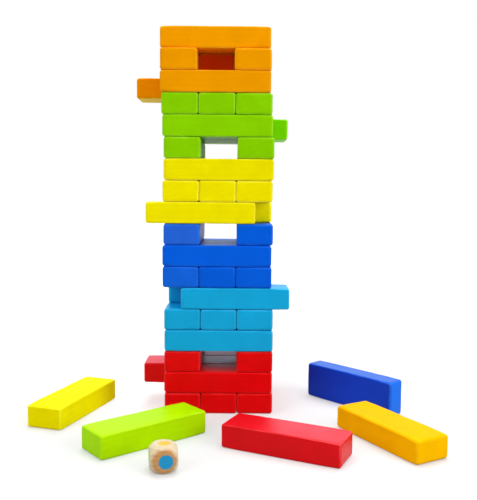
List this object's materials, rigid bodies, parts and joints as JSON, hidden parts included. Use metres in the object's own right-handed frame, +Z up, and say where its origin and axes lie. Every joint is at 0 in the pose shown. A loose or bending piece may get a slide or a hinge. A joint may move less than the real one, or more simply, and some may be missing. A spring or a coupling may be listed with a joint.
{
  "type": "tumbling tower game",
  "caption": "Tower of painted wooden blocks stacked crosswise in threes, some pushed out or missing, with loose blocks and a wooden colour die beside it.",
  "frame": {"origin": "middle of the tower's base, on the underside of the bottom layer's middle block", "axes": "+Z up; the tower's front, as pictured, faces -Y; +X to the right seen from the front"},
  "size_m": [0.2648, 0.2051, 0.2699],
  "materials": {
    "paint_red": "satin red paint on smooth wood",
    "paint_light_blue": "satin light blue paint on smooth wood",
    "paint_dark_blue": "satin dark blue paint on smooth wood",
    "paint_yellow": "satin yellow paint on smooth wood",
    "paint_green": "satin green paint on smooth wood",
    "paint_orange": "satin orange paint on smooth wood",
    "die_wood": "bare waxed pale wood with one painted colour spot on each face"
  },
  "bodies": {
    "layer_01_red_left": {"layer_01_red_left": "paint_red"},
    "layer_01_red_middle": {"layer_01_red_middle": "paint_red"},
    "layer_01_red_right": {"layer_01_red_right": "paint_red"},
    "layer_02_red_front": {"layer_02_red_front": "paint_red"},
    "layer_02_red_middle": {"layer_02_red_middle": "paint_red"},
    "layer_02_red_rear": {"layer_02_red_rear": "paint_red"},
    "layer_03_red_left": {"layer_03_red_left": "paint_red"},
    "layer_03_red_right": {"layer_03_red_right": "paint_red"},
    "layer_04_light_blue_front": {"layer_04_light_blue_front": "paint_light_blue"},
    "layer_04_light_blue_middle": {"layer_04_light_blue_middle": "paint_light_blue"},
    "layer_04_light_blue_rear": {"layer_04_light_blue_rear": "paint_light_blue"},
    "layer_05_light_blue_left": {"layer_05_light_blue_left": "paint_light_blue"},
    "layer_05_light_blue_middle": {"layer_05_light_blue_middle": "paint_light_blue"},
    "layer_05_light_blue_right": {"layer_05_light_blue_right": "paint_light_blue"},
    "layer_06_light_blue_front": {"layer_06_light_blue_front": "paint_light_blue"},
    "layer_06_light_blue_middle": {"layer_06_light_blue_middle": "paint_light_blue"},
    "layer_06_light_blue_rear": {"layer_06_light_blue_rear": "paint_light_blue"},
    "layer_07_dark_blue_left": {"layer_07_dark_blue_left": "paint_dark_blue"},
    "layer_07_dark_blue_middle": {"layer_07_dark_blue_middle": "paint_dark_blue"},
    "layer_07_dark_blue_right": {"layer_07_dark_blue_right": "paint_dark_blue"},
    "layer_08_dark_blue_front": {"layer_08_dark_blue_front": "paint_dark_blue"},
    "layer_08_dark_blue_middle": {"layer_08_dark_blue_middle": "paint_dark_blue"},
    "layer_08_dark_blue_rear": {"layer_08_dark_blue_rear": "paint_dark_blue"},
    "layer_09_dark_blue_left": {"layer_09_dark_blue_left": "paint_dark_blue"},
    "layer_09_dark_blue_right": {"layer_09_dark_blue_right": "paint_dark_blue"},
    "layer_10_yellow_front": {"layer_10_yellow_front": "paint_yellow"},
    "layer_10_yellow_middle": {"layer_10_yellow_middle": "paint_yellow"},
    "layer_11_yellow_left": {"layer_11_yellow_left": "paint_yellow"},
    "layer_11_yellow_middle": {"layer_11_yellow_middle": "paint_yellow"},
    "layer_11_yellow_right": {"layer_11_yellow_right": "paint_yellow"},
    "layer_12_yellow_front": {"layer_12_yellow_front": "paint_yellow"},
    "layer_12_yellow_middle": {"layer_12_yellow_middle": "paint_yellow"},
    "layer_12_yellow_rear": {"layer_12_yellow_rear": "paint_yellow"},
    "layer_13_green_left": {"layer_13_green_left": "paint_green"},
    "layer_13_green_right": {"layer_13_green_right": "paint_green"},
    "layer_14_green_front": {"layer_14_green_front": "paint_green"},
    "layer_14_green_middle": {"layer_14_green_middle": "paint_green"},
    "layer_14_green_rear": {"layer_14_green_rear": "paint_green"},
    "layer_15_green_left": {"layer_15_green_left": "paint_green"},
    "layer_15_green_middle": {"layer_15_green_middle": "paint_green"},
    "layer_15_green_right": {"layer_15_green_right": "paint_green"},
    "layer_16_orange_front": {"layer_16_orange_front": "paint_orange"},
    "layer_16_orange_rear": {"layer_16_orange_rear": "paint_orange"},
    "layer_17_orange_left": {"layer_17_orange_left": "paint_orange"},
    "layer_17_orange_middle": {"layer_17_orange_middle": "paint_orange"},
    "layer_17_orange_right": {"layer_17_orange_right": "paint_orange"},
    "layer_18_orange_front": {"layer_18_orange_front": "paint_orange"},
    "layer_18_orange_middle": {"layer_18_orange_middle": "paint_orange"},
    "layer_18_orange_rear": {"layer_18_orange_rear": "paint_orange"},
    "loose_yellow_block": {"loose_yellow_block": "paint_yellow"},
    "loose_green_block": {"loose_green_block": "paint_green"},
    "loose_red_block": {"loose_red_block": "paint_red"},
    "loose_dark_blue_block": {"loose_dark_blue_block": "paint_dark_blue"},
    "loose_orange_block": {"loose_orange_block": "paint_orange"},
    "colour_die": {"colour_die": "die_wood"}
  },
  "joints": [
    {"name": "layer_01_red_left_slide", "type": "slide", "parent": "layer_01_red_middle", "child": "layer_01_red_left", "axis": [0, 1, 0], "range_m": [-0.015, 0.0764]},
    {"name": "layer_01_red_right_slide", "type": "slide", "parent": "layer_01_red_middle", "child": "layer_01_red_right", "axis": [0, 1, 0], "range_m": [-0.035, 0.0764]},
    {"name": "layer_02_red_front_slide", "type": "slide", "parent": "layer_01_red_middle", "child": "layer_02_red_front", "axis": [1, 0, 0], "range_m": [-0.0764, 0.045]},
    {"name": "layer_02_red_middle_slide", "type": "slide", "parent": "layer_01_red_middle", "child": "layer_02_red_middle", "axis": [1, 0, 0], "range_m": [-0.0588, 0.045]},
    {"name": "layer_02_red_rear_slide", "type": "slide", "parent": "layer_01_red_middle", "child": "layer_02_red_rear", "axis": [1, 0, 0], "range_m": [-0.0764, 0.0315]},
    {"name": "layer_03_red_left_slide", "type": "slide", "parent": "layer_01_red_middle", "child": "layer_03_red_left", "axis": [0, 1, 0], "range_m": [-0.0764, 0.0764]},
    {"name": "layer_03_red_right_slide", "type": "slide", "parent": "layer_01_red_middle", "child": "layer_03_red_right", "axis": [0, 1, 0], "range_m": [-0.0764, 0.0764]},
    {"name": "layer_04_light_blue_front_slide", "type": "slide", "parent": "layer_01_red_middle", "child": "layer_04_light_blue_front", "axis": [1, 0, 0], "range_m": [-0.0764, 0.0764]},
    {"name": "layer_04_light_blue_middle_slide", "type": "slide", "parent": "layer_01_red_middle", "child": "layer_04_light_blue_middle", "axis": [1, 0, 0], "range_m": [-0.0764, 0.0764]},
    {"name": "layer_04_light_blue_rear_slide", "type": "slide", "parent": "layer_01_red_middle", "child": "layer_04_light_blue_rear", "axis": [1, 0, 0], "range_m": [-0.0764, 0.0764]},
    {"name": "layer_05_light_blue_left_slide", "type": "slide", "parent": "layer_01_red_middle", "child": "layer_05_light_blue_left", "axis": [0, 1, 0], "range_m": [-0.0764, 0.0764]},
    {"name": "layer_05_light_blue_middle_slide", "type": "slide", "parent": "layer_01_red_middle", "child": "layer_05_light_blue_middle", "axis": [0, 1, 0], "range_m": [-0.0764, 0.0764]},
    {"name": "layer_05_light_blue_right_slide", "type": "slide", "parent": "layer_01_red_middle", "child": "layer_05_light_blue_right", "axis": [0, 1, 0], "range_m": [-0.0764, 0.0764]},
    {"name": "layer_06_light_blue_front_slide", "type": "slide", "parent": "layer_01_red_middle", "child": "layer_06_light_blue_front", "axis": [1, 0, 0], "range_m": [-0.0875, 0.0653]},
    {"name": "layer_06_light_blue_middle_slide", "type": "slide", "parent": "layer_01_red_middle", "child": "layer_06_light_blue_middle", "axis": [1, 0, 0], "range_m": [-0.0764, 0.0764]},
    {"name": "layer_06_light_blue_rear_slide", "type": "slide", "parent": "layer_01_red_middle", "child": "layer_06_light_blue_rear", "axis": [1, 0, 0], "range_m": [-0.0764, 0.0764]},
    {"name": "layer_07_dark_blue_left_slide", "type": "slide", "parent": "layer_01_red_middle", "child": "layer_07_dark_blue_left", "axis": [0, 1, 0], "range_m": [-0.0764, 0.0764]},
    {"name": "layer_07_dark_blue_middle_slide", "type": "slide", "parent": "layer_01_red_middle", "child": "layer_07_dark_blue_middle", "axis": [0, 1, 0], "range_m": [-0.0764, 0.0764]},
    {"name": "layer_07_dark_blue_right_slide", "type": "slide", "parent": "layer_01_red_middle", "child": "layer_07_dark_blue_right", "axis": [0, 1, 0], "range_m": [-0.0764, 0.0764]},
    {"name": "layer_08_dark_blue_front_slide", "type": "slide", "parent": "layer_01_red_middle", "child": "layer_08_dark_blue_front", "axis": [1, 0, 0], "range_m": [-0.0764, 0.0764]},
    {"name": "layer_08_dark_blue_middle_slide", "type": "slide", "parent": "layer_01_red_middle", "child": "layer_08_dark_blue_middle", "axis": [1, 0, 0], "range_m": [-0.0764, 0.0764]},
    {"name": "layer_08_dark_blue_rear_slide", "type": "slide", "parent": "layer_01_red_middle", "child": "layer_08_dark_blue_rear", "axis": [1, 0, 0], "range_m": [-0.0764, 0.0764]},
    {"name": "layer_09_dark_blue_left_slide", "type": "slide", "parent": "layer_01_red_middle", "child": "layer_09_dark_blue_left", "axis": [0, 1, 0], "range_m": [-0.0764, 0.0764]},
    {"name": "layer_09_dark_blue_right_slide", "type": "slide", "parent": "layer_01_red_middle", "child": "layer_09_dark_blue_right", "axis": [0, 1, 0], "range_m": [-0.0764, 0.0764]},
    {"name": "layer_10_yellow_front_slide", "type": "slide", "parent": "layer_01_red_middle", "child": "layer_10_yellow_front", "axis": [1, 0, 0], "range_m": [-0.0638, 0.089]},
    {"name": "layer_10_yellow_middle_slide", "type": "slide", "parent": "layer_01_red_middle", "child": "layer_10_yellow_middle", "axis": [1, 0, 0], "range_m": [-0.0764, 0.0764]},
    {"name": "layer_11_yellow_left_slide", "type": "slide", "parent": "layer_01_red_middle", "child": "layer_11_yellow_left", "axis": [0, 1, 0], "range_m": [-0.0764, 0.0764]},
    {"name": "layer_11_yellow_middle_slide", "type": "slide", "parent": "layer_01_red_middle", "child": "layer_11_yellow_middle", "axis": [0, 1, 0], "range_m": [-0.0764, 0.0764]},
    {"name": "layer_11_yellow_right_slide", "type": "slide", "parent": "layer_01_red_middle", "child": "layer_11_yellow_right", "axis": [0, 1, 0], "range_m": [-0.0764, 0.0764]},
    {"name": "layer_12_yellow_front_slide", "type": "slide", "parent": "layer_01_red_middle", "child": "layer_12_yellow_front", "axis": [1, 0, 0], "range_m": [-0.0764, 0.0764]},
    {"name": "layer_12_yellow_middle_slide", "type": "slide", "parent": "layer_01_red_middle", "child": "layer_12_yellow_middle", "axis": [1, 0, 0], "range_m": [-0.0764, 0.0764]},
    {"name": "layer_12_yellow_rear_slide", "type": "slide", "parent": "layer_01_red_middle", "child": "layer_12_yellow_rear", "axis": [1, 0, 0], "range_m": [-0.0764, 0.0764]},
    {"name": "layer_13_green_left_slide", "type": "slide", "parent": "layer_01_red_middle", "child": "layer_13_green_left", "axis": [0, 1, 0], "range_m": [-0.0764, 0.0764]},
    {"name": "layer_13_green_right_slide", "type": "slide", "parent": "layer_01_red_middle", "child": "layer_13_green_right", "axis": [0, 1, 0], "range_m": [-0.0764, 0.0764]},
    {"name": "layer_14_green_front_slide", "type": "slide", "parent": "layer_01_red_middle", "child": "layer_14_green_front", "axis": [1, 0, 0], "range_m": [-0.0764, 0.0764]},
    {"name": "layer_14_green_middle_slide", "type": "slide", "parent": "layer_01_red_middle", "child": "layer_14_green_middle", "axis": [1, 0, 0], "range_m": [-0.0882, 0.0646]},
    {"name": "layer_14_green_rear_slide", "type": "slide", "parent": "layer_01_red_middle", "child": "layer_14_green_rear", "axis": [1, 0, 0], "range_m": [-0.0764, 0.0764]},
    {"name": "layer_15_green_left_slide", "type": "slide", "parent": "layer_01_red_middle", "child": "layer_15_green_left", "axis": [0, 1, 0], "range_m": [-0.0764, 0.0764]},
    {"name": "layer_15_green_middle_slide", "type": "slide", "parent": "layer_01_red_middle", "child": "layer_15_green_middle", "axis": [0, 1, 0], "range_m": [-0.0764, 0.0764]},
    {"name": "layer_15_green_right_slide", "type": "slide", "parent": "layer_01_red_middle", "child": "layer_15_green_right", "axis": [0, 1, 0], "range_m": [-0.0764, 0.0764]},
    {"name": "layer_16_orange_front_slide", "type": "slide", "parent": "layer_01_red_middle", "child": "layer_16_orange_front", "axis": [1, 0, 0], "range_m": [-0.0764, 0.0764]},
    {"name": "layer_16_orange_rear_slide", "type": "slide", "parent": "layer_01_red_middle", "child": "layer_16_orange_rear", "axis": [1, 0, 0], "range_m": [-0.0556, 0.0972]},
    {"name": "layer_17_orange_left_slide", "type": "slide", "parent": "layer_01_red_middle", "child": "layer_17_orange_left", "axis": [0, 1, 0], "range_m": [-0.0764, 0.0764]},
    {"name": "layer_17_orange_middle_slide", "type": "slide", "parent": "layer_01_red_middle", "child": "layer_17_orange_middle", "axis": [0, 1, 0], "range_m": [-0.0969, 0.0559]},
    {"name": "layer_17_orange_right_slide", "type": "slide", "parent": "layer_01_red_middle", "child": "layer_17_orange_right", "axis": [0, 1, 0], "range_m": [-0.0764, 0.0764]},
    {"name": "layer_18_orange_front_lift", "type": "slide", "parent": "layer_01_red_middle", "child": "layer_18_orange_front", "axis": [0, 0, 1], "range_m": [0, 0.06]},
    {"name": "layer_18_orange_middle_lift", "type": "slide", "parent": "layer_01_red_middle", "child": "layer_18_orange_middle", "axis": [0, 0, 1], "range_m": [0, 0.06]},
    {"name": "layer_18_orange_rear_lift", "type": "slide", "parent": "layer_01_red_middle", "child": "layer_18_orange_rear", "axis": [0, 0, 1], "range_m": [0, 0.06]},
    {"name": "loose_yellow_block_lift", "type": "slide", "parent": "layer_01_red_middle", "child": "loose_yellow_block", "axis": [0, 0, 1], "range_m": [0, 0.3]},
    {"name": "loose_green_block_lift", "type": "slide", "parent": "layer_01_red_middle", "child": "loose_green_block", "axis": [0, 0, 1], "range_m": [0, 0.3]},
    {"name": "loose_red_block_lift", "type": "slide", "parent": "layer_01_red_middle", "child": "loose_red_block", "axis": [0, 0, 1], "range_m": [0, 0.3]},
    {"name": "loose_dark_blue_block_lift", "type": "slide", "parent": "layer_01_red_middle", "child": "loose_dark_blue_block", "axis": [0, 0, 1], "range_m": [0, 0.3]},
    {"name": "loose_orange_block_lift", "type": "slide", "parent": "layer_01_red_middle", "child": "loose_orange_block", "axis": [0, 0, 1], "range_m": [0, 0.3]},
    {"name": "colour_die_lift", "type": "slide", "parent": "layer_01_red_middle", "child": "colour_die", "axis": [0, 0, 1], "range_m": [0, 0.3]}
  ]
}
